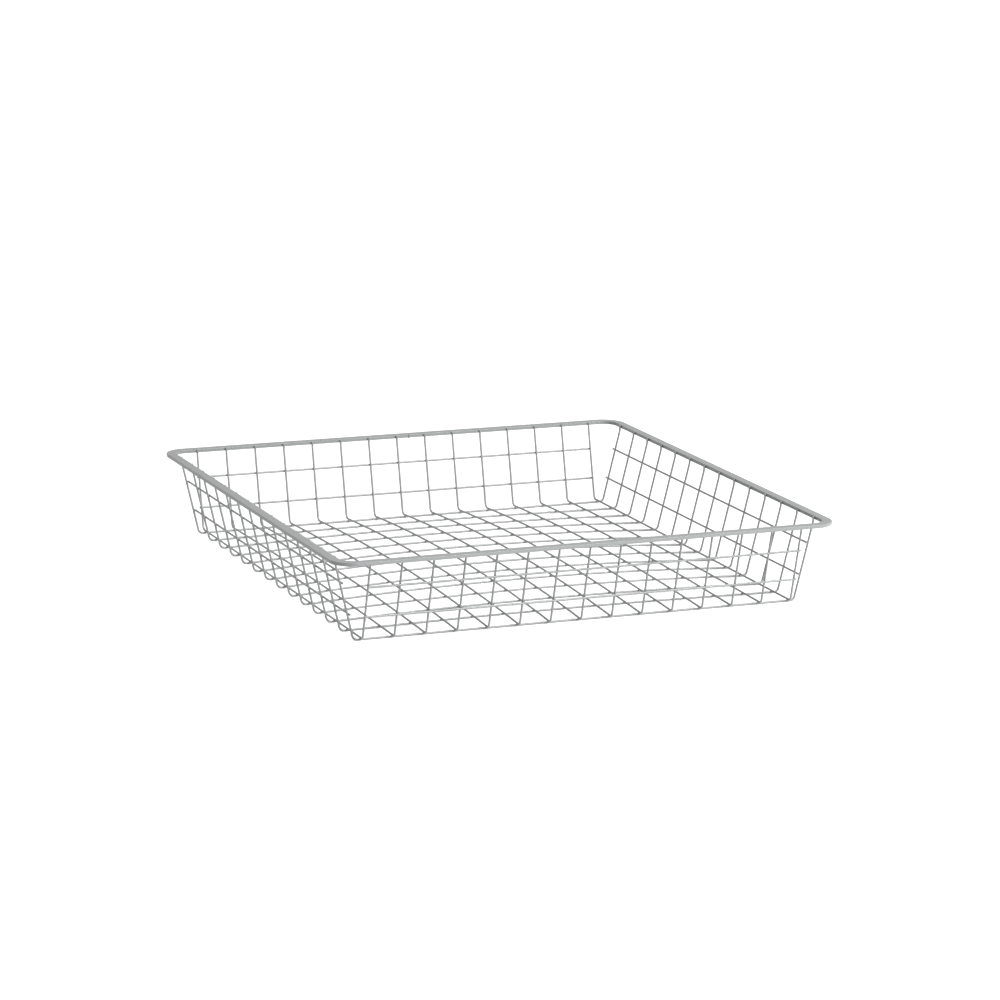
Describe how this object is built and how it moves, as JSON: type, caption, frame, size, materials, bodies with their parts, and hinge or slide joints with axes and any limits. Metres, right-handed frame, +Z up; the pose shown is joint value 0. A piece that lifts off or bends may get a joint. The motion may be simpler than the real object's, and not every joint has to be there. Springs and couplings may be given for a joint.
{
  "type": "wire basket",
  "caption": "Shallow open wire basket with a crowned mesh floor, leaning mesh walls and a flat-bar rim that hangs on runners.",
  "frame": {"origin": "on the surface that the basket stands on, under the middle of the rim", "axes": "+X to the right seen from the front, -Y towards the front wall, +Z up"},
  "size_m": [0.533, 0.551, 0.0865],
  "materials": {
    "rim_steel": "silver-grey lacquer over flat steel bar",
    "wire_steel": "silver-grey lacquer over drawn steel wire"
  },
  "bodies": {
    "root": {"rim": "rim_steel", "cross_wire_01": "wire_steel", "cross_wire_02": "wire_steel", "cross_wire_03": "wire_steel", "cross_wire_04": "wire_steel", "cross_wire_05": "wire_steel", "cross_wire_06": "wire_steel", "cross_wire_07": "wire_steel", "cross_wire_08": "wire_steel", "cross_wire_09": "wire_steel", "cross_wire_10": "wire_steel", "cross_wire_11": "wire_steel", "cross_wire_12": "wire_steel", "cross_wire_13": "wire_steel", "cross_wire_14": "wire_steel", "long_wire_01": "wire_steel", "long_wire_02": "wire_steel", "long_wire_03": "wire_steel", "long_wire_04": "wire_steel", "long_wire_05": "wire_steel", "long_wire_06": "wire_steel", "long_wire_07": "wire_steel", "long_wire_08": "wire_steel", "long_wire_09": "wire_steel", "long_wire_10": "wire_steel", "long_wire_11": "wire_steel", "long_wire_12": "wire_steel", "long_wire_13": "wire_steel", "long_wire_14": "wire_steel", "long_wire_15": "wire_steel", "left_wall_wire_low": "wire_steel", "left_wall_wire_high": "wire_steel", "right_wall_wire_low": "wire_steel", "right_wall_wire_high": "wire_steel", "front_wall_wire_low": "wire_steel", "front_wall_wire_high": "wire_steel", "back_wall_wire_low": "wire_steel", "back_wall_wire_high": "wire_steel"}
  },
  "joints": []
}
